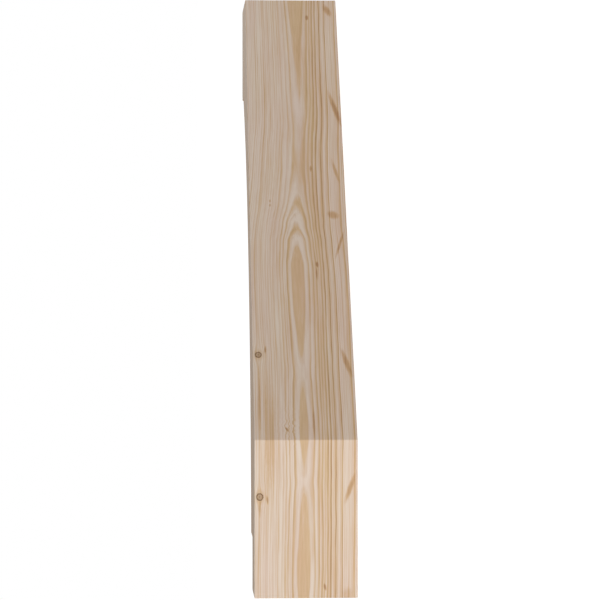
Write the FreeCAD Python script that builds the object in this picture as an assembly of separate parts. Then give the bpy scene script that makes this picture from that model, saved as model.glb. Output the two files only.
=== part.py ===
import FreeCAD, Part
import math
import os

# Wooden knee brace: one solid sawn from a dressed timber, with a straight back and
# an arched underside. In use it stands in the corner between a post and a beam:
# the wall face bears on the post, and the beam face bears on the underside of the beam.
#
# It is modelled as it lies unheld, flat on one side face:
#   +X  height in use, from the foot up to the beam face
#   +Y  projection in use, from the wall face out along the beam
#   +Z  thickness of the timber, up from the side face that it lies on
# The origin is the centre of the box around the brace, on the floor. Millimetres.

# Overall sizes.
HEIGHT = 863.6              # foot end to beam face
PROJECTION = 660.4          # wall face to the end of the head
THICKNESS = 139.7           # a dressed 6x timber

# Bearing faces.
WALL_FACE_HEIGHT = 214.0    # from the foot end up to where the back leans away
BEAM_FACE_LENGTH = 167.0    # from where the back meets the beam face to the head's end

# Foot: the small square nose at the bottom of the underside.
FOOT_DEPTH = 94.0           # wall face to the foot's outer face
FOOT_HEIGHT = 73.0          # foot end up to the shoulder
SHOULDER_DEPTH = 64.0       # foot's outer face out to where the arch starts

# Head: the square nose at the top of the underside.
HEAD_HEIGHT = 143.5         # beam face down to the head's underside
HEAD_UNDERSIDE = 54.0       # head's end back to where the arch stops

# Arch: one circular arc from the shoulder to the head's underside.
ARCH_RADIUS = 820.0


def corner(height, depth):
    """Point of the side profile, from its height above the foot end and its depth
    from the wall face."""
    return FreeCAD.Vector(height - HEIGHT / 2, depth - PROJECTION / 2, 0)


def arch(start, end):
    """Arc of ARCH_RADIUS that hollows the underside between two points."""
    chord = end - start
    half_chord = chord.Length / 2
    rise = ARCH_RADIUS - math.sqrt(ARCH_RADIUS**2 - half_chord**2)
    into_timber = FreeCAD.Vector(chord.y, -chord.x, 0).normalize()
    crown = (start + end) * 0.5 + into_timber * rise
    return Part.Arc(start, crown, end).toShape()


def side_profile():
    """Closed outline of the brace, counted round from the foot's wall corner."""
    wall_bottom = corner(0, 0)
    foot_end = corner(0, FOOT_DEPTH)
    foot_top = corner(FOOT_HEIGHT, FOOT_DEPTH)
    arch_start = corner(FOOT_HEIGHT, FOOT_DEPTH + SHOULDER_DEPTH)
    arch_end = corner(HEIGHT - HEAD_HEIGHT, PROJECTION - HEAD_UNDERSIDE)
    head_bottom = corner(HEIGHT - HEAD_HEIGHT, PROJECTION)
    head_top = corner(HEIGHT, PROJECTION)
    back_top = corner(HEIGHT, PROJECTION - BEAM_FACE_LENGTH)
    back_bottom = corner(WALL_FACE_HEIGHT, 0)

    foot = Part.makePolygon([wall_bottom, foot_end, foot_top, arch_start])
    head_and_back = Part.makePolygon(
        [arch_end, head_bottom, head_top, back_top, back_bottom, wall_bottom]
    )
    edges = foot.Edges + [arch(arch_start, arch_end)] + head_and_back.Edges
    return Part.Wire(edges)


def knee_brace():
    """The whole brace: its side profile, as thick as the timber."""
    profile = Part.Face(side_profile())
    return profile.extrude(FreeCAD.Vector(0, 0, THICKNESS))


os.makedirs("parts", exist_ok=True)
knee_brace().exportStep("parts/knee_brace.step")
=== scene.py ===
"""Wooden knee brace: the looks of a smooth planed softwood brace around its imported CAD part.

The file is laid out as an add-on and run as a script. Lengths in properties are metres.
Lengths inside the wood's shader are millimetres, counted in the timber's own grain: along
it from the crease of the back, across it from the middle of the thickness, and in depth
below the wall face and the back.
"""

import math

import bmesh
import bpy
from bpy.props import FloatProperty, FloatVectorProperty, IntProperty, PointerProperty
from mathutils import Matrix, Vector


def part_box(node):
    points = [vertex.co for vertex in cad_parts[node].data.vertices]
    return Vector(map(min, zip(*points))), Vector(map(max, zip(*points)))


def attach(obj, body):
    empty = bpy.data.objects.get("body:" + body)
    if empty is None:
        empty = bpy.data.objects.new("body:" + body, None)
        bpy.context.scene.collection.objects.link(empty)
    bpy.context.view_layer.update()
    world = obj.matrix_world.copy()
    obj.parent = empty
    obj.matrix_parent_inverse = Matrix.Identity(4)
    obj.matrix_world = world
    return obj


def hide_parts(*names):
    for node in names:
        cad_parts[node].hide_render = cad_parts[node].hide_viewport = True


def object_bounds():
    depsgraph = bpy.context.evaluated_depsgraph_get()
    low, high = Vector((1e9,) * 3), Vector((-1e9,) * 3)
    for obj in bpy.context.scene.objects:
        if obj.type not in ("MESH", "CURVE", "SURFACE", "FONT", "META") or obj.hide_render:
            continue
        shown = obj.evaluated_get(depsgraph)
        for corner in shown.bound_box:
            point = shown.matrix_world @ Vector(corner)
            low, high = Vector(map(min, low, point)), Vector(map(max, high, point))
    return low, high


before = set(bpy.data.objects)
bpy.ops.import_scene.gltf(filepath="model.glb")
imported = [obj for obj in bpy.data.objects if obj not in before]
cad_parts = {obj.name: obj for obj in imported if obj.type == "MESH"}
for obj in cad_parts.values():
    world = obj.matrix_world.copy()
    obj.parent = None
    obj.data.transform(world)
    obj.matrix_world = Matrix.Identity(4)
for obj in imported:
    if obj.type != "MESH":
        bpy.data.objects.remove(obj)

bl_info = {
    "name": "Wooden knee brace",
    "version": (1, 0, 0),
    "blender": (4, 5, 0),
    "location": "View3D > Sidebar > Knee brace",
    "description": "Saws the knee brace, finishes its wood and sets the stage round it",
    "category": "Add Mesh",
}

CAD_NODE = "knee_brace"
BODY = "root"
CAD_LOW, CAD_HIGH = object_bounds()
MM = 1000.0
SAME_PLACE = 1e-4           # metres: points nearer than this lie together
STRAIGHT = 1e-4             # radians: the outline runs straight through a smaller turn
SHARP = math.radians(12)    # a larger turn is a sawn corner, a smaller one belongs to the arch


# The brace's outline, read from the CAD node.

def key(point):
    """A point's place to a hundredth of a millimetre, so that equal corners match."""
    return (round(point.x, 5), round(point.y, 5))


def side_outline(node):
    """Corners of the node's lower side face in order, with the points of its arch."""
    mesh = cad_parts[node].data
    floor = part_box(node)[0].z
    uses = {}
    for face in mesh.polygons:
        corners = [mesh.vertices[i].co for i in face.vertices]
        if all(abs(corner.z - floor) < SAME_PLACE for corner in corners):
            for a, b in zip(corners, corners[1:] + corners[:1]):
                uses.setdefault(frozenset((key(a), key(b))), []).append((key(a), key(b)))
    step = dict(found[0] for found in uses.values() if len(found) == 1)
    start = min(step)
    loop = [start]
    while step[loop[-1]] != start:
        loop.append(step[loop[-1]])
    return [Vector(point) for point in loop]


def turn(before, here, after):
    """How far the outline turns at a point, in radians, with its sign."""
    first, second = here - before, after - here
    return math.atan2(first.cross(second), first.dot(second))


def turns(loop):
    """The turn at each point of a closed outline."""
    return [turn(loop[i - 1], loop[i], loop[(i + 1) % len(loop)]) for i in range(len(loop))]


def circle_through(a, b, c):
    """Centre of the circle through three points."""
    d = 2 * (a.x * (b.y - c.y) + b.x * (c.y - a.y) + c.x * (a.y - b.y))
    squares = [p.length_squared for p in (a, b, c)]
    x = squares[0] * (b.y - c.y) + squares[1] * (c.y - a.y) + squares[2] * (a.y - b.y)
    y = squares[0] * (c.x - b.x) + squares[1] * (a.x - c.x) + squares[2] * (b.x - a.x)
    return Vector((x / d, y / d))


def smooth_outline(node, cuts):
    """The outline with straight runs left plain and each chord of the arch cut into
    several, on the arch's own circle."""
    loop = side_outline(node)
    loop = [p for p, angle in zip(loop, turns(loop)) if abs(angle) > STRAIGHT]
    gentle = [abs(angle) < SHARP for angle in turns(loop)]
    on_arch = [p for p, is_gentle in zip(loop, gentle) if is_gentle]
    middle = len(on_arch) // 2
    centre = circle_through(on_arch[0], on_arch[middle], on_arch[-1])
    radius = (on_arch[0] - centre).length
    finer = []
    for i, point in enumerate(loop):
        finer.append(point)
        following = (i + 1) % len(loop)
        if gentle[i] or gentle[following]:
            for cut in range(1, cuts):
                between = point.lerp(loop[following], cut / cuts)
                finer.append(centre + (between - centre).normalized() * radius)
    return finer


def back_corners(node):
    """The crease where the wall face meets the back, and the back's far corner."""
    loop = side_outline(node)
    corners = [p for p, angle in zip(loop, turns(loop)) if abs(angle) > SHARP]
    low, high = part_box(node)
    on_wall = [p for p in corners if abs(p.y - low.y) < SAME_PLACE]
    on_beam = [p for p in corners if abs(p.x - high.x) < SAME_PLACE]
    return max(on_wall, key=lambda p: p.x), min(on_beam, key=lambda p: p.y)


CREASE, BACK_TOP = back_corners(CAD_NODE)
UP_BACK = (BACK_TOP - CREASE).normalized()


# What a user may change.

class TimberSettings(bpy.types.PropertyGroup):
    arris: FloatProperty(
        name="Arris", description="How far each sharp edge is eased",
        default=0.0009, min=0.0002, max=0.005, unit="LENGTH", precision=5,
    )
    arch_cuts: IntProperty(
        name="Arch cuts", description="Pieces that each chord of the arch is cut into",
        default=4, min=1, max=12,
    )
    pale: FloatVectorProperty(
        name="Pale", description="The palest wood, just outside a ring's edge",
        subtype="COLOR", size=3, min=0, max=1, default=(0.785, 0.668, 0.560),
    )
    earlywood: FloatVectorProperty(
        name="Earlywood", description="The pale wood between the rings",
        subtype="COLOR", size=3, min=0, max=1, default=(0.735, 0.595, 0.472),
    )
    honey: FloatVectorProperty(
        name="Honey", description="The broad soft side of the latewood",
        subtype="COLOR", size=3, min=0, max=1, default=(0.690, 0.500, 0.315),
    )
    amber: FloatVectorProperty(
        name="Amber", description="Latewood nearer its hard edge",
        subtype="COLOR", size=3, min=0, max=1, default=(0.590, 0.400, 0.220),
    )
    latewood: FloatVectorProperty(
        name="Latewood", description="The hard brown edge of the latewood",
        subtype="COLOR", size=3, min=0, max=1, default=(0.460, 0.275, 0.140),
    )
    blush: FloatVectorProperty(
        name="Blush", description="The pinker tint that comes and goes",
        subtype="COLOR", size=3, min=0, max=1, default=(0.975, 0.925, 0.950),
    )
    streak: FloatVectorProperty(
        name="Streak", description="The redder tint of the short marks",
        subtype="COLOR", size=3, min=0, max=1, default=(0.500, 0.270, 0.170),
    )
    knot: FloatVectorProperty(
        name="Knot", description="Pin knots",
        subtype="COLOR", size=3, min=0, max=1, default=(0.230, 0.135, 0.075),
    )
    ring_pitch: FloatProperty(
        name="Ring pitch", description="Growth of one year, inside the timber",
        default=0.0029, min=0.0008, max=0.01, unit="LENGTH", precision=5,
    )


class StageSettings(bpy.types.PropertyGroup):
    distance: FloatProperty(
        name="Camera distance", description="From the camera to the wall face",
        default=3.388, min=0.5, max=20, unit="LENGTH",
    )
    eye_along: FloatProperty(
        name="Eye along", description="The camera's height above the foot end, in use",
        default=0.422, min=-2, max=3, unit="LENGTH",
    )
    eye_above: FloatProperty(
        name="Eye above", description="The camera's height above the floor it lies on",
        default=0.2385, min=0.05, max=3, unit="LENGTH",
    )
    lens: FloatProperty(
        name="Lens", description="Focal length", default=150.7, min=20, max=400,
    )
    key: FloatProperty(
        name="Key light", description="Level of the main soft light on a surface that faces it",
        default=0.82, min=0, max=10,
    )
    fill: FloatProperty(
        name="Fill light", description="Level of the soft light behind the arch",
        default=0.50, min=0, max=10,
    )
    ambient: FloatProperty(
        name="Ambient", description="Level of the light from all round",
        default=0.28, min=0, max=2,
    )


# Short calls for node trees.

class Tree:
    """A node tree. Each call adds a node and hands back its output. A node is added after
    the nodes that feed it, and none clamps, because Cycles then needs least room to work
    them out: smooth steps, ramps and mixes hold their own ends."""

    def __init__(self, tree):
        self.tree = tree

    def node(self, kind, **settings):
        made = self.tree.nodes.new("ShaderNode" + kind)
        for name, value in settings.items():
            setattr(made, name, value)
        return made

    def feed(self, socket, value):
        if isinstance(value, bpy.types.NodeSocket):
            self.tree.links.new(value, socket)
        else:
            socket.default_value = value

    def feed_all(self, made, values):
        for socket, value in zip(made.inputs, values):
            self.feed(socket, value)

    def math(self, operation, *values):
        made = self.node("Math", operation=operation)
        self.feed_all(made, values)
        return made.outputs[0]

    def add(self, first, *others):
        for other in others:
            first = self.math("ADD", first, other)
        return first

    def times(self, first, *others):
        for other in others:
            first = self.math("MULTIPLY", first, other)
        return first

    def dot(self, a, b):
        made = self.node("VectorMath", operation="DOT_PRODUCT")
        self.feed_all(made, (a, b))
        return made.outputs["Value"]

    def vector(self, operation, *values):
        made = self.node("VectorMath", operation=operation)
        self.feed_all(made, values)
        return made.outputs["Vector"]

    def combine(self, x, y, z):
        made = self.node("CombineXYZ")
        self.feed_all(made, (x, y, z))
        return made.outputs[0]

    def separate(self, vector):
        made = self.node("SeparateXYZ")
        self.feed(made.inputs[0], vector)
        return made.outputs

    def step(self, value, low, high, start=0.0, end=1.0):
        """A smooth step of the value, from start at low to end at high."""
        made = self.node("MapRange", interpolation_type="SMOOTHSTEP", clamp=False)
        self.feed_all(made, (value, low, high, start, end))
        return made.outputs[0]

    def span(self, value, low, high):
        """The value as a share of the way from low to high."""
        made = self.node("MapRange", clamp=False)
        self.feed_all(made, (value, low, high))
        return made.outputs[0]

    def grain_noise(self, places, pitches, detail=1.0, roughness=0.5):
        """Soft noise of three places, each with its own number of bumps to the unit."""
        scaled = [self.times(place, pitch) for place, pitch in zip(places, pitches)]
        return self.noise(*scaled, detail, roughness)

    def noise(self, x, y, z, detail=1.0, roughness=0.5):
        """Soft noise about nought, from -1 to 1, at one bump to the unit."""
        place = self.combine(x, y, z)
        made = self.node("TexNoise", noise_dimensions="3D")
        made.inputs["Scale"].default_value = 1.0
        made.inputs["Detail"].default_value = detail
        made.inputs["Roughness"].default_value = roughness
        self.feed(made.inputs["Vector"], place)
        return self.math("MULTIPLY_ADD", made.outputs[0], 2.0, -1.0)

    def chance(self, number, seed):
        """A random value from 0 to 1 that belongs to a whole number."""
        place = self.combine(number, seed, 0.0)
        made = self.node("TexWhiteNoise", noise_dimensions="2D")
        self.feed(made.inputs["Vector"], place)
        return made.outputs["Value"]

    def curve(self, value, points, low, high):
        """A smooth curve through (place, height) points, heights from low to high."""
        first, last = points[0][0], points[-1][0]
        share = self.span(value, first, last)
        made = self.node("FloatCurve")
        line = made.mapping.curves[0]
        shares = [((x - first) / (last - first), (y - low) / (high - low)) for x, y in points]
        line.points[0].location = shares[0]
        line.points[1].location = shares[-1]
        for point in shares[1:-1]:
            line.points.new(*point)
        for point in line.points:
            point.handle_type = "AUTO_CLAMPED"
        made.mapping.update()
        self.feed(made.inputs["Value"], share)
        return self.math("MULTIPLY_ADD", made.outputs[0], high - low, low)

    def ramp(self, value, stops):
        """A ramp through (place from 0 to 1, colour) stops."""
        made = self.node("ValToRGB")
        elements = made.color_ramp.elements
        elements.remove(elements[-1])
        elements[0].position, elements[0].color = stops[0][0], (*stops[0][1], 1)
        for place, shade in stops[1:]:
            elements.new(place).color = (*shade, 1)
        self.feed(made.inputs[0], value)
        return made.outputs[0]

    def blend(self, factor, a, b):
        """A value between a and b."""
        made = self.node("Mix", data_type="FLOAT")
        self.feed_all(made, (factor,))
        self.feed(made.inputs["A"], a)
        self.feed(made.inputs["B"], b)
        return made.outputs["Result"]

    def tint(self, factor, a, b, blend_type="MIX"):
        """A colour between a and b."""
        made = self.node("Mix", data_type="RGBA", blend_type=blend_type)
        for socket, value in (("Factor_Float", factor), ("A_Color", a), ("B_Color", b)):
            found = next(s for s in made.inputs if s.identifier == socket)
            self.feed(found, value)
        return next(s for s in made.outputs if s.identifier == "Result_Color")

    def place(self, group, **values):
        """Puts a node group in the tree. Spaces in its input names are underscores."""
        made = self.node("Group", node_tree=group)
        for name, value in values.items():
            self.feed(made.inputs[name.replace("_", " ")], value)
        return made.outputs


def new_group(name, inputs, outputs):
    """An empty shader node group: its tree, its inputs by name and its output node."""
    group = bpy.data.node_groups.new(name, "ShaderNodeTree")
    for label in inputs:
        group.interface.new_socket(name=label, in_out="INPUT", socket_type="NodeSocketFloat")
    for label in outputs:
        group.interface.new_socket(name=label, in_out="OUTPUT", socket_type="NodeSocketFloat")
    source = group.nodes.new("NodeGroupInput")
    sink = group.nodes.new("NodeGroupOutput")
    return group, Tree(group), source.outputs, sink.inputs


# How the timber grew. Places along the grain are from the crease, up the back.

EDGES = {"lens": 31.2, "inner": 34.0, "outer": 37.2}    # radii of three ring edges

HEART_DEPTH = (     # depth of the heart below the face, along the grain
    (-214, 30.3), (-182, 29.9), (-134, 30.3), (-87, 30.85), (-68, 31.2), (-58, 31.45),
    (-46, 31.2), (-28, 31.05), (-14, 30.85), (17, 30.5), (60, 30.85), (93, 31.2),
    (112, 31.6), (131, 31.2), (184, 30.6), (237, 29.9), (286, 29.7), (315, 30.4),
    (330, 31.0), (341, 31.3), (351, 32.2), (361, 33.2), (369, 33.8), (376, 34.0),
    (384, 34.6), (395, 35.6), (408, 36.5), (423, 37.2), (440, 37.7), (513, 38.5),
    (600, 37.5), (625, 37.2), (702, 36.8), (760, 36.0), (816, 35.1),
)
HEART_ACROSS = (    # how far the heart lies off the middle
    (-214, 3.3), (-50, 2.4), (131, 2.2), (237, 2.8), (337, 3.4), (410, 0.7),
    (513, -3.6), (615, -7.2), (816, -7.2),
)
# Strong rings: edge radius, width of its latewood, strength.
LEFT_RINGS = (
    (EDGES["lens"], 1.3, 0.52), (EDGES["inner"], 1.5, 0.8), (35.4, 0.6, 0.36),
    (EDGES["outer"], 1.7, 0.6), (39.8, 1.4, 0.55), (42.6, 1.2, 0.4), (47.2, 2.0, 0.4),
    (52.8, 1.5, 0.38), (60.9, 1.2, 0.38), (68.6, 1.5, 0.62),
)
RIGHT_RINGS = (
    (EDGES["lens"], 1.3, 0.52), (EDGES["inner"], 1.3, 0.62), (EDGES["outer"], 1.7, 0.6),
    (40.1, 1.5, 0.58), (42.2, 1.2, 0.48), (45.2, 1.8, 0.72), (48.3, 1.8, 0.85),
    (53.6, 2.0, 0.85), (60.8, 2.0, 0.92), (76.0, 3.5, 0.7),
)
RADIUS_LOW, RADIUS_HIGH = 28.0, 80.0        # radii that the strong rings are drawn between
PLAIN_SHADE = 0.2       # how dark plain wood is, from 0 at its palest to 1 at a hard edge
PALE_SHADE = 0.02       # the palest wood, just past a ring's edge
PALE_AFTER = 0.35       # how far past the edge that is
HARD_SHARE = 0.25       # share of a ring's latewood that is its full strength
# How dark one year's wood is, from its first growth to its last.
YEAR_PROFILE = ((0.0, 0.0), (0.4, 0.06), (0.72, 0.45), (0.88, 1.0), (0.95, 0.9), (1.0, 0.0))

# How the rings wander: bumps to the millimetre along, in depth and across, and how far.
SWAY_BUMPS, SWAY_REACH = (0.0075, 0.01, 0.03), 1.4
RIPPLE_BUMPS, RIPPLE_REACH = (0.03, 0.02, 0.11), 0.5
SWAY_INSIDE = 3.5                   # how far the sway moves rings deep inside the timber
CURL = (22.0, 21.0, 26.0, 13.0)     # wavy grain: along, across, its reach along, its reach across
CURL_REACH = 4.0
OPENING = (237.0, 700.0)            # where the rings outside the loops open out, along
TONGUE = (480.0, 600.0)             # where the filled tongue of the head begins, along
BAND_EDGES = ((35.5, 37.5), (52.0, 58.0))   # radii that the darker band on the right fades between
YEAR_SEED = 4.0
# Pin knots: along, across, radius.
KNOTS = ((141.5, 62.0, 4.6), (-77.0, 62.6, 4.8))
# Short brown marks on the face: along, across, half length, half width, slant, strength.
MARKS = (
    (150, 52.3, 8, 1.9, -0.05, 0.8), (-81, 52.4, 8, 2.0, 0.12, 0.7),
    (64, 61.6, 76, 1.7, 0.0, 0.6), (-92, 62.5, 15, 2.4, 0.0, 0.45),
    (416, 40.0, 4.0, 2.2, 0.0, 0.5), (408, 40.0, 4.0, 2.2, 0.0, 0.5),
    (17, 25.2, 5, 2.2, 0.4, 0.9), (-199, -25.6, 6, 2.4, 0.2, 0.9),
    (794, -56.2, 15, 6.5, 0.3, 0.75), (779, -24.3, 7, 3.0, 0.0, 0.9),
    (477, -21.0, 8, 2.2, 0.0, 0.7), (300, -24.6, 7, 2.6, 0.1, 0.9),
    (283, -23.8, 14, 2.0, 0.0, 0.6), (390, -50.6, 10, 10.0, 0.2, 0.7),
    (592, -61.0, 42, 5.0, 0.25, 0.85), (472, -57.3, 26, 3.4, 0.22, 0.6),
    (335, -58.0, 30, 2.8, -0.28, 0.7), (128, -59.7, 30, 5.0, 0.26, 0.8),
    (-66, -59.3, 24, 4.6, -0.33, 0.8), (-210, -56.0, 14, 9.0, 0.0, 0.4),
    (25, 48.5, 118, 10.0, 0.0, 0.36), (27, -11.5, 30, 2.4, 0.0, 0.5),
)
FACE_DEPTH = 14.0       # how far below the face the marks and strong rings reach
FADE_DEPTH = 0.35 * FACE_DEPTH      # where they begin to fade
MARK_BUMPS, MARK_RAGGED = (0.12, 0.9), 0.3      # bumps to the millimetre, and how far they reach

# What each layer of the figure adds to the wood's darkness.
YEARLY_INSIDE, YEARLY_AT_FACE = 0.62, 0.48
HEART_SHADE = 0.47
LINES_WEIGHT, LINES_IN_HEART = 0.42, 0.14
HAIRS_WEIGHT = 0.24
BAND_WEIGHT = 0.17
MARKS_WEIGHT = 0.75
HALO_WEIGHT = 0.2
STREAK_TINT = 0.3       # how far the short marks take the streak's colour
# Tint of the ends, and painted shade on the two sawn sides, and how strong they are.
END_TINT, END_STRENGTH = (0.90, 0.78, 0.66, 1.0), 0.45
SIDE_PAINTED_SHADE, SIDE_SHADE_STRENGTH = (0.90, 0.86, 0.80, 1.0), 0.4
BLUSH_DRIFT, BLUSH_PLAIN = 0.9, 0.35    # how far the blush comes and goes, and its middle
DULL, SHEEN = 0.78, 0.12                # roughness of pale wood, and what latewood takes off it
LATEWOOD_RELIEF, HAIRS_RELIEF, KNOT_RELIEF = 0.6, 0.35, 0.8
RELIEF_STRENGTH, RELIEF_DEPTH = 0.35, 0.00015   # the depth is in metres
MATT_SPECULAR = 0.02


def grain_space():
    """Where a point lies in the timber: along the grain, below the face and across."""
    group, t, _, out = new_group("Grain space", (), ("Along", "Depth", "Across"))
    middle = Vector((CREASE.x, CREASE.y, (CAD_LOW.z + CAD_HIGH.z) / 2))
    place = t.node("TexCoord").outputs["Object"]
    place = t.vector("SUBTRACT", place, middle)
    place = t.vector("SCALE", place)
    place.node.inputs["Scale"].default_value = MM
    x, y, z = t.separate(place)
    up_back = t.dot(place, (UP_BACK.x, UP_BACK.y, 0))
    below_back = t.dot(place, (-UP_BACK.y, UP_BACK.x, 0))
    t.feed(out["Along"], t.add(t.math("MAXIMUM", up_back, 0.0), t.math("MINIMUM", x, 0.0)))
    nearest = t.math("MINIMUM", y, below_back)
    rounding = t.math("MULTIPLY_ADD", t.math("MAXIMUM", nearest, 0.0), 0.7, 0.01)
    t.feed(out["Depth"], t.math("SMOOTH_MIN", y, below_back, rounding))
    t.feed(out["Across"], z)
    return group


def pin_knot():
    """One pin knot: its dark rim and core, its soft halo, and how it parts the grain. Its
    steps are shares of the knot's radius."""
    inputs = ("Along", "Across", "Place Along", "Place Across", "Radius")
    group, t, given, out = new_group("Pin knot", inputs, ("Wood", "Halo", "Push"))
    along = t.math("SUBTRACT", given["Along"], given["Place Along"])
    across = t.math("SUBTRACT", given["Across"], given["Place Across"])
    ragged = t.noise(t.times(along, 0.8), t.times(across, 0.8), given["Radius"])
    square = t.add(t.times(along, along, 0.9), t.times(across, across))
    distance = t.math("DIVIDE", t.math("SQRT", square), given["Radius"])
    distance = t.add(distance, t.times(ragged, 0.22))
    rim = t.times(t.step(distance, 0.55, 0.82), t.step(distance, 0.9, 1.15, 1.0, 0.0))
    core = t.step(distance, 0.1, 0.35, 0.75, 0.0)
    body = t.step(distance, 0.85, 1.1, 0.42, 0.0)
    t.feed(out["Wood"], t.math("MAXIMUM", t.math("MAXIMUM", rim, core), body))
    t.feed(out["Halo"], t.step(distance, 0.8, 2.6, 1.0, 0.0))
    reach = t.add(
        t.math("POWER", t.math("DIVIDE", along, t.times(given["Radius"], 3.4)), 2.0),
        t.math("POWER", t.math("DIVIDE", across, t.times(given["Radius"], 2.6)), 2.0),
    )
    swell = t.math("EXPONENT", t.times(reach, -1.0))
    side = t.math("DIVIDE", across, t.add(t.math("ABSOLUTE", across), 0.8))
    t.feed(out["Push"], t.times(side, swell, given["Radius"], -0.75))
    return group


def short_mark():
    """A short brown mark that follows the grain or slants across it."""
    inputs = (
        "Along", "Across", "Place Along", "Place Across",
        "Half Length", "Half Width", "Slant", "Strength", "Ragged",
    )
    group, t, given, out = new_group("Short mark", inputs, ("Mask",))
    along = t.math("SUBTRACT", given["Along"], given["Place Along"])
    across = t.math("SUBTRACT", given["Across"], given["Place Across"])
    across = t.math("SUBTRACT", across, t.times(along, given["Slant"]))
    square = t.add(
        t.math("POWER", t.math("DIVIDE", along, given["Half Length"]), 2.0),
        t.math("POWER", t.math("DIVIDE", across, given["Half Width"]), 2.0),
    )
    distance = t.add(t.math("SQRT", square), given["Ragged"])
    t.feed(out["Mask"], t.times(t.step(distance, 0.2, 1.05, 1.0, 0.0), given["Strength"]))
    return group


def growth_rings():
    """How far a point lies from the heart of the tree, and on which side of it."""
    inputs = ("Along", "Depth", "Across", "Push")
    group, t, given, out = new_group("Growth rings", inputs, ("Radius", "Left"))
    along, depth = given["Along"], given["Depth"]
    heart_depth = t.curve(along, HEART_DEPTH, 29.0, 39.0)
    heart_across = t.curve(along, HEART_ACROSS, -10.0, 10.0)
    sway = t.grain_noise((along, depth, given["Across"]), SWAY_BUMPS, 2.0)
    ripple = t.grain_noise((along, depth, given["Across"]), RIPPLE_BUMPS)
    across = t.math("SUBTRACT", given["Across"], heart_across)
    spread = t.step(t.math("ABSOLUTE", across), 4.0, 26.0)
    place_along, place_across, reach_along, reach_across = CURL
    off_along = t.times(t.math("SUBTRACT", along, place_along), 1 / reach_along)
    square_along = t.math("POWER", off_along, 2.0)
    off_across = t.times(t.math("SUBTRACT", given["Across"], place_across), 1 / reach_across)
    square_across = t.math("POWER", off_across, 2.0)
    curl = t.math("EXPONENT", t.times(t.add(square_along, square_across), -1.0))
    wiggle = t.noise(t.times(along, 0.14), t.times(given["Across"], 0.09), 5.0)
    swayed = t.times(sway, spread, SWAY_REACH)
    rippled = t.times(ripple, spread, RIPPLE_REACH)
    across = t.add(across, swayed, rippled, given["Push"])
    across = t.add(across, t.times(wiggle, curl, CURL_REACH))
    height = t.math("SUBTRACT", heart_depth, depth)
    radius = t.math("SQRT", t.add(t.times(across, across), t.times(height, height)))
    beyond = t.math("SUBTRACT", radius, EDGES["outer"])
    opening = t.step(along, *OPENING, 0.0, 0.2)
    radius = t.add(radius, t.times(t.math("MAXIMUM", beyond, 0.0), opening))
    inside = t.step(depth, 6.0, 60.0)
    radius = t.add(radius, t.times(sway, inside, SWAY_INSIDE))
    t.feed(out["Radius"], radius)
    t.feed(out["Left"], t.step(across, -3.0, 3.0))
    return group


LEAST_GAP = 0.004       # between two stops of a ramp


def ring_stops(rings):
    """Ramp stops of wood that darkens slowly outwards to each ring's hard edge, is palest
    just past it, and then comes back to its plain shade."""
    span = RADIUS_HIGH - RADIUS_LOW
    stops = []
    lowest = 0.0
    for edge, width, strength in rings:
        shades = (
            (edge - width, PLAIN_SHADE),
            (edge - HARD_SHARE * width, strength),
            (edge + PALE_AFTER, PALE_SHADE),
        )
        for radius, grey in shades:
            place = max((radius - RADIUS_LOW) / span, lowest)
            stops.append((place, (grey,) * 3))
            lowest = place + LEAST_GAP
    return stops


def latewood_figure():
    """The latewood of each ring: the strong rings near the face and yearly rings within,
    the filled heart of each loop, and the darker band on the right of the loops."""
    inputs = ("Radius", "Left", "Along", "Depth", "Pitch")
    outputs = ("Strong", "Yearly", "Heart", "Band")
    group, t, given, out = new_group("Latewood figure", inputs, outputs)
    radius, along = given["Radius"], given["Along"]
    share = t.span(radius, RADIUS_LOW, RADIUS_HIGH)
    on_right = t.ramp(share, ring_stops(RIGHT_RINGS))
    on_left = t.ramp(share, ring_stops(LEFT_RINGS))
    strong = t.blend(given["Left"], on_right, on_left)
    patchy = t.noise(t.times(along, 0.011), t.times(radius, 0.6), given["Left"], 2.0)
    patchy = t.math("MULTIPLY_ADD", patchy, 0.5, 0.95)
    near_face = t.step(given["Depth"], FADE_DEPTH, FACE_DEPTH, 1.0, 0.0)
    t.feed(out["Strong"], t.blend(t.times(patchy, near_face), 0.8 * PLAIN_SHADE, strong))
    lens = t.step(radius, EDGES["lens"] - 0.15, EDGES["lens"] + 0.12, 1.0, 0.0)
    tongue = t.step(radius, EDGES["outer"] - 0.3, EDGES["outer"] + 0.2, 1.0, 0.0)
    tongue = t.times(tongue, t.step(along, *TONGUE))
    t.feed(out["Heart"], t.times(t.math("MAXIMUM", lens, tongue), near_face))
    rise, fall = BAND_EDGES
    band = t.times(t.step(radius, *rise), t.step(radius, *fall, 1.0, 0.0))
    band = t.times(band, t.math("SUBTRACT", 1.0, given["Left"]), near_face)
    t.feed(out["Band"], t.times(band, t.math("MULTIPLY_ADD", patchy, 0.5, 0.4)))
    drift = t.noise(t.times(radius, 0.055), given["Left"], 3.0, 2.0)
    count = t.add(t.math("DIVIDE", radius, given["Pitch"]), t.times(drift, 2.2))
    phase = t.math("FRACT", count)
    year = t.math("FLOOR", count)
    weight = t.math("MULTIPLY_ADD", t.chance(year, YEAR_SEED), 0.65, 0.35)
    profile = t.ramp(phase, [(place, (grey,) * 3) for place, grey in YEAR_PROFILE])
    loops = t.times(t.step(radius, 38.0, 44.0, 1.0, 0.0), near_face)
    t.feed(out["Yearly"], t.times(profile, weight, t.math("SUBTRACT", 1.0, loops)))
    return group


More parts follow.
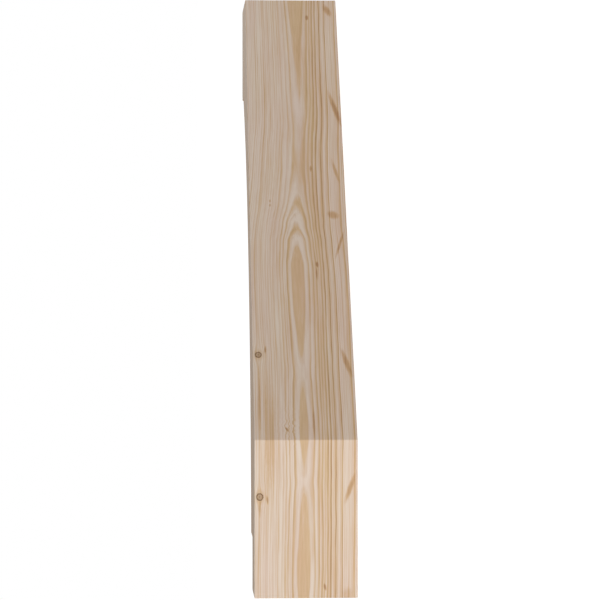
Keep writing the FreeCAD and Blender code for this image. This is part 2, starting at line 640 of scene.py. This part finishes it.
def fine_fibre():
    """Fine straight lines of the grain, in two widths, and the wood's broad drift of hue."""
    inputs = ("Along", "Radius", "Across", "Depth")
    group, t, given, out = new_group("Fine fibre", inputs, ("Lines", "Hairs", "Drift"))
    along, radius = given["Along"], given["Radius"]
    across, depth = given["Across"], given["Depth"]
    side = t.times(across, 0.05)
    lines = t.noise(t.times(along, 0.009), t.times(radius, 0.42), side, 3.0, 0.65)
    t.feed(out["Lines"], lines)
    t.feed(out["Hairs"], t.grain_noise((along, radius, across), (0.022, 1.7, 0.6), 2.0, 0.6))
    t.feed(out["Drift"], t.grain_noise((along, across, depth), (0.006, 0.045, 0.02)))
    return group


def end_grain():
    """How squarely a surface cuts across the grain, from 0 along it to 1 on an end, and
    whether it is one of the two sawn sides, where the wood gets painted shade."""
    group, t, given, out = new_group("End grain", ("Along",), ("Mask", "Side"))
    facing = t.node("TexCoord").outputs["Normal"]
    straight = t.math("ABSOLUTE", t.dot(facing, (1, 0, 0)))
    leaning = t.math("ABSOLUTE", t.dot(facing, (UP_BACK.x, UP_BACK.y, 0)))
    across_grain = t.blend(t.step(given["Along"], -20.0, 20.0), straight, leaning)
    t.feed(out["Mask"], t.step(across_grain, 0.35, 0.95))
    t.feed(out["Side"], t.step(t.math("ABSOLUTE", t.dot(facing, (0, 0, 1))), 0.6, 0.95))
    return group


def softwood(settings):
    """Planed softwood, figured through its whole depth so that every cut face agrees."""
    material = bpy.data.materials.new("planed_softwood")
    material.use_nodes = True
    material.node_tree.nodes.clear()
    t = Tree(material.node_tree)
    grain = t.place(grain_space())
    along, depth, across = grain["Along"], grain["Depth"], grain["Across"]
    near_face = t.step(depth, FADE_DEPTH, FACE_DEPTH, 1.0, 0.0)

    knot_group, mark_group = pin_knot(), short_mark()
    push = knots = halo = marks = 0.0
    for place_along, place_across, radius in KNOTS:
        knot = t.place(
            knot_group, Along=along, Across=across,
            Place_Along=place_along, Place_Across=place_across, Radius=radius,
        )
        push = t.add(knot["Push"], push)
        knots = t.math("MAXIMUM", knot["Wood"], knots)
        halo = t.math("MAXIMUM", knot["Halo"], halo)
    bumps_along, bumps_across = MARK_BUMPS
    ragged = t.noise(t.times(along, bumps_along), t.times(across, bumps_across), 0.0, 2.0)
    ragged = t.times(ragged, MARK_RAGGED)
    for place_along, place_across, length, width, slant, strength in MARKS:
        mark = t.place(
            mark_group, Along=along, Across=across, Place_Along=place_along,
            Place_Across=place_across, Half_Length=length, Half_Width=width,
            Slant=slant, Strength=strength, Ragged=ragged,
        )
        marks = t.math("MAXIMUM", mark["Mask"], marks)
    push = t.times(push, near_face)
    halo = t.times(halo, near_face)
    knots = t.times(knots, near_face)
    marks = t.times(marks, near_face)

    rings = t.place(growth_rings(), Along=along, Depth=depth, Across=across, Push=push)
    radius = rings["Radius"]
    figure = t.place(
        latewood_figure(), Radius=radius, Left=rings["Left"], Along=along, Depth=depth,
        Pitch=settings.ring_pitch * MM,
    )
    fibre = t.place(fine_fibre(), Along=along, Radius=radius, Across=across, Depth=depth)
    ends = t.place(end_grain(), Along=along)

    quiet = t.times(near_face, t.step(radius, RADIUS_HIGH - 6, RADIUS_HIGH, 1.0, 0.0))
    yearly = t.times(figure["Yearly"], t.blend(quiet, YEARLY_INSIDE, YEARLY_AT_FACE))
    fill = t.times(figure["Heart"], HEART_SHADE)
    latewood = t.math("MAXIMUM", t.math("MAXIMUM", figure["Strong"], yearly), fill)
    calm = t.math("MULTIPLY_ADD", figure["Heart"], LINES_IN_HEART - LINES_WEIGHT, LINES_WEIGHT)
    lines = t.times(fibre["Lines"], calm)
    latewood = t.add(latewood, lines, t.times(fibre["Hairs"], HAIRS_WEIGHT))
    band = t.times(figure["Band"], BAND_WEIGHT)
    latewood = t.add(latewood, band, t.times(marks, MARKS_WEIGHT))
    latewood = t.add(latewood, t.times(halo, HALO_WEIGHT))

    wood = t.ramp(latewood, (
        (0.0, settings.pale), (0.2, settings.earlywood), (0.45, settings.honey),
        (0.75, settings.amber), (1.0, settings.latewood),
    ))
    warmth = t.math("MULTIPLY_ADD", fibre["Drift"], BLUSH_DRIFT, BLUSH_PLAIN)
    wood = t.tint(warmth, wood, (*settings.blush, 1.0), "MULTIPLY")
    wood = t.tint(t.times(marks, STREAK_TINT), wood, (*settings.streak, 1.0))
    wood = t.tint(knots, wood, (*settings.knot, 1.0))
    wood = t.tint(t.times(ends["Mask"], END_STRENGTH), wood, END_TINT, "MULTIPLY")
    # Painted shade: both sawn sides are darkened, as a side turned away from the light looks.
    wood = t.tint(t.times(ends["Side"], SIDE_SHADE_STRENGTH), wood, SIDE_PAINTED_SHADE, "MULTIPLY")

    roughness = t.math("MULTIPLY_ADD", latewood, -SHEEN, DULL)
    relief = t.times(latewood, LATEWOOD_RELIEF)
    hairs_relief = t.times(fibre["Hairs"], HAIRS_RELIEF)
    relief = t.add(relief, hairs_relief, t.times(knots, KNOT_RELIEF))
    bump = t.node("Bump")
    bump.inputs["Strength"].default_value = RELIEF_STRENGTH
    bump.inputs["Distance"].default_value = RELIEF_DEPTH
    t.feed(bump.inputs["Height"], relief)

    shader = t.node("BsdfPrincipled")
    shader.inputs["Specular IOR Level"].default_value = MATT_SPECULAR
    t.feed(shader.inputs["Base Color"], wood)
    t.feed(shader.inputs["Roughness"], roughness)
    t.feed(shader.inputs["Normal"], bump.outputs[0])
    t.feed(t.node("OutputMaterial").inputs["Surface"], shader.outputs[0])
    return material


# The brace itself.

def brace_mesh(settings):
    """The sawn brace as one closed mesh, with every sharp edge eased."""
    outline = smooth_outline(CAD_NODE, settings.arch_cuts)
    bm = bmesh.new()
    low = [bm.verts.new((p.x, p.y, CAD_LOW.z)) for p in outline]
    high = [bm.verts.new((p.x, p.y, CAD_HIGH.z)) for p in outline]
    bm.faces.new(low)
    bm.faces.new(high)
    for i in range(len(outline)):
        after = (i + 1) % len(outline)
        bm.faces.new((low[i], low[after], high[after], high[i]))
    bmesh.ops.recalc_face_normals(bm, faces=bm.faces)
    bm.normal_update()
    sharp = [edge for edge in bm.edges if edge.calc_face_angle() > SHARP]
    bmesh.ops.bevel(
        bm, geom=sharp, offset=settings.arris, segments=3, profile=0.5,
        affect="EDGES", clamp_overlap=True,
    )
    bmesh.ops.recalc_face_normals(bm, faces=bm.faces)
    for face in bm.faces:
        face.smooth = True
    mesh = bpy.data.meshes.new("sawn_brace")
    bm.to_mesh(mesh)
    bm.free()
    return mesh


class BRACE_OT_timber(bpy.types.Operator):
    """Saws the brace to the CAD part's outline, eases its edges and finishes its wood"""

    bl_idname = "brace.timber"
    bl_label = "Saw the brace"

    def execute(self, context):
        settings = context.scene.timber_settings
        brace = bpy.data.objects.new("sawn_brace", brace_mesh(settings))
        context.scene.collection.objects.link(brace)
        brace.data.materials.append(softwood(settings))
        weights = brace.modifiers.new("flat_faces", "WEIGHTED_NORMAL")
        weights.mode = "FACE_AREA"
        weights.weight = 100
        weights.keep_sharp = False
        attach(brace, BODY)
        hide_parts(CAD_NODE)
        return {"FINISHED"}


# The stage.

def pale_floor():
    """Matt white floor. What looks at it sees it near white, with the soft shadow left."""
    material = bpy.data.materials.new("pale_floor")
    material.use_nodes = True
    material.node_tree.nodes.clear()
    t = Tree(material.node_tree)
    path = t.node("LightPath").outputs
    seen = t.math("MAXIMUM", path["Is Camera Ray"], path["Is Glossy Ray"])
    seen = t.math("MAXIMUM", seen, path["Is Transmission Ray"])
    paint = t.node("BsdfDiffuse")
    paint.inputs["Color"].default_value = FLOOR_PAINT
    glow = t.node("Emission")
    t.feed(glow.inputs["Strength"], t.times(seen, FLOOR_GLOW))
    both = t.node("AddShader")
    t.feed(both.inputs[0], paint.outputs[0])
    t.feed(both.inputs[1], glow.outputs[0])
    t.feed(t.node("OutputMaterial").inputs["Surface"], both.outputs[0])
    return material


def studio_air(ambient):
    """Even light from all round, which shows white behind the brace."""
    world = bpy.data.worlds.new("studio_air")
    world.use_nodes = True
    world.node_tree.nodes.clear()
    t = Tree(world.node_tree)
    path = t.node("LightPath").outputs
    seen = t.math("MAXIMUM", path["Is Camera Ray"], path["Is Glossy Ray"])
    seen = t.math("MAXIMUM", seen, path["Is Transmission Ray"])
    air = t.node("Background")
    air.inputs["Color"].default_value = (1.0, 1.0, 1.0, 1.0)
    t.feed(air.inputs["Strength"], t.blend(seen, ambient, 1.0))
    t.feed(t.node("OutputWorld").inputs["Surface"], air.outputs[0])
    return world


def soft_light(name, towards, level):
    """A broad distant light. A white surface that faces it shows its level."""
    light = bpy.data.lights.new(name, "SUN")
    light.energy = math.pi * level
    light.angle = LIGHT_SPREAD
    made = bpy.data.objects.new(name, light)
    made.rotation_euler = Vector(towards).to_track_quat("Z", "Y").to_euler()
    bpy.context.scene.collection.objects.link(made)


FLOOR_REACH = 30.0
FLOOR_PAINT = (0.82, 0.82, 0.82, 1.0)
FLOOR_GLOW = 0.72
LIGHT_SPREAD = math.radians(24)
KEY_FROM = (-0.37, -0.92, 0.12)     # towards the foot end, the wall side and up
FILL_FROM = (0.30, 0.94, 0.12)      # towards the head, the arch side and up
LOOK_DOWN = math.radians(2.714)     # how far below level the camera looks
LOOK_FOOTWARD = math.radians(0.320)     # and how far towards the foot end


class BRACE_OT_stage(bpy.types.Operator):
    """Lays the floor, hangs the lamps and stands the camera in front of the wall face"""

    bl_idname = "brace.stage"
    bl_label = "Set the stage"

    def execute(self, context):
        settings = context.scene.stage_settings
        scene = context.scene

        mesh = bpy.data.meshes.new("floor")
        signs = ((-1, -1), (1, -1), (1, 1), (-1, 1))
        corners = [(x * FLOOR_REACH, y * FLOOR_REACH, CAD_LOW.z) for x, y in signs]
        mesh.from_pydata(corners, [], [(0, 1, 2, 3)])
        floor = bpy.data.objects.new("floor", mesh)
        floor.data.materials.append(pale_floor())
        scene.collection.objects.link(floor)

        scene.world = studio_air(settings.ambient)
        soft_light("key_light", KEY_FROM, settings.key)
        soft_light("fill_light", FILL_FROM, settings.fill)

        camera = bpy.data.cameras.new("camera")
        camera.sensor_width = 36.0
        camera.lens = settings.lens
        camera.clip_start = 0.1
        camera.clip_end = 100.0
        ahead = Vector((-math.sin(LOOK_FOOTWARD), 1.0, -math.sin(LOOK_DOWN))).normalized()
        right = ahead.cross(Vector((1, 0, 0))).normalized()
        up = right.cross(ahead)
        stand = bpy.data.objects.new("camera", camera)
        turned = Matrix((right, up, -ahead)).transposed().to_4x4()
        turned.translation = CAD_LOW + Vector(
            (settings.eye_along, -settings.distance, settings.eye_above)
        )
        stand.matrix_world = turned
        scene.collection.objects.link(stand)
        scene.camera = stand
        scene.view_settings.view_transform = "Standard"
        return {"FINISHED"}


class BRACE_PT_panel(bpy.types.Panel):
    """Lists the brace's sizes and colours, and the steps that make it"""

    bl_label = "Knee brace"
    bl_idname = "BRACE_PT_panel"
    bl_space_type = "VIEW_3D"
    bl_region_type = "UI"
    bl_category = "Knee brace"

    def draw(self, context):
        steps = (
            (context.scene.timber_settings, TimberSettings, BRACE_OT_timber),
            (context.scene.stage_settings, StageSettings, BRACE_OT_stage),
        )
        for settings, kind, operator in steps:
            box = self.layout.box()
            for name in kind.__annotations__:
                box.prop(settings, name)
            box.operator(operator.bl_idname)


CLASSES = (TimberSettings, StageSettings, BRACE_OT_timber, BRACE_OT_stage, BRACE_PT_panel)


def register():
    for kind in CLASSES:
        bpy.utils.register_class(kind)
    bpy.types.Scene.timber_settings = PointerProperty(type=TimberSettings)
    bpy.types.Scene.stage_settings = PointerProperty(type=StageSettings)


def unregister():
    del bpy.types.Scene.stage_settings
    del bpy.types.Scene.timber_settings
    for kind in reversed(CLASSES):
        bpy.utils.unregister_class(kind)


def main():
    register()
    bpy.ops.brace.timber()
    bpy.ops.brace.stage()


if __name__ == "__main__":
    main()
